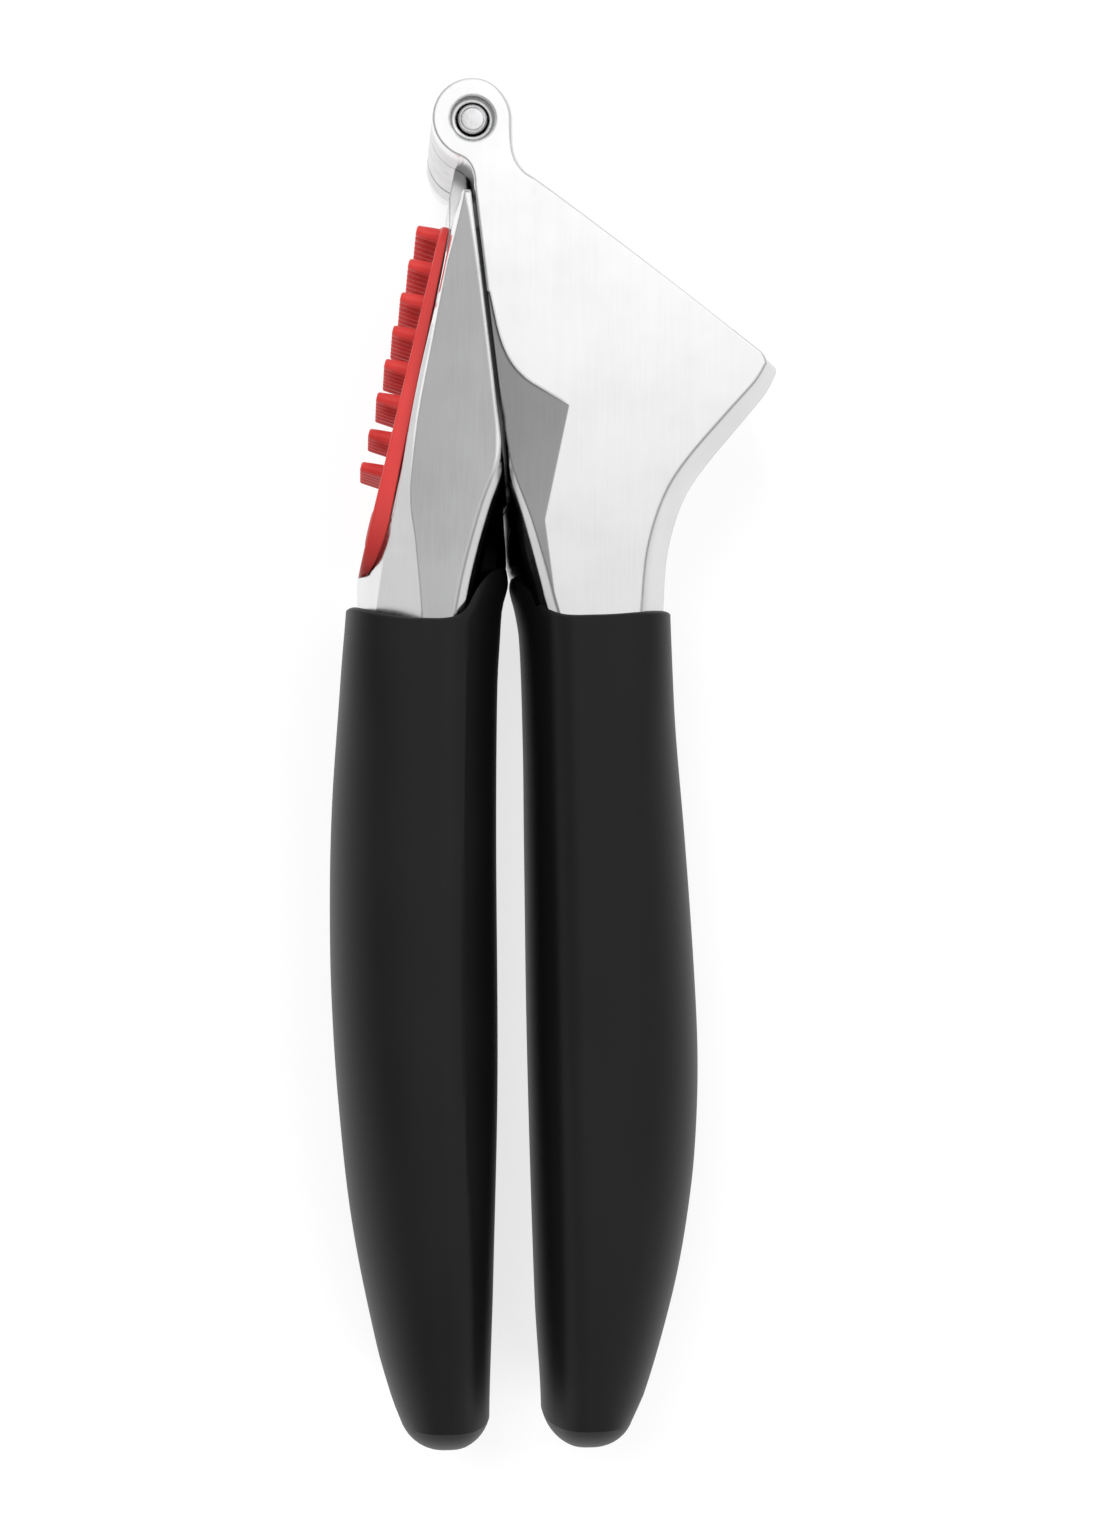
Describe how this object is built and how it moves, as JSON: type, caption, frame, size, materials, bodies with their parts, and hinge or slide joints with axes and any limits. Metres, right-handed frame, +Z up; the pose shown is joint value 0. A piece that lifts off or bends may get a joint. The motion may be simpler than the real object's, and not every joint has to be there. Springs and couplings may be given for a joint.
{
  "type": "garlic press",
  "caption": "Hand-held garlic press with a hinged hopper and plunger, a perforated strainer, soft grips and a fold-over pin cleaner.",
  "frame": {"origin": "under the middle of the whole press, on the surface it lies on", "axes": "+Y along the handles towards the hinge, +X towards the hopper arm, +Z up, along the hinge pin"},
  "size_m": [0.0576, 0.177, 0.032],
  "materials": {
    "zinc_casting": "satin",
    "pin_steel": "polished",
    "soft_grip": "matte",
    "hard_core": "matte",
    "red_plastic": "satin"
  },
  "bodies": {
    "hopper_half": {"hopper_arm": "zinc_casting", "strainer_plate": "zinc_casting", "hinge_pin": "pin_steel", "hopper_core": "hard_core", "hopper_grip": "soft_grip"},
    "plunger_half": {"plunger_arm": "zinc_casting", "plunger_head": "zinc_casting", "cleaner_plate": "red_plastic", "plunger_core": "hard_core", "plunger_grip": "soft_grip"}
  },
  "joints": [
    {"name": "hinge", "type": "hinge", "parent": "hopper_half", "child": "plunger_half", "pos_m": [-0.0106, 0.08335, 0.016], "axis": [0, 0, -1], "range_deg": [0, 293.5]}
  ]
}
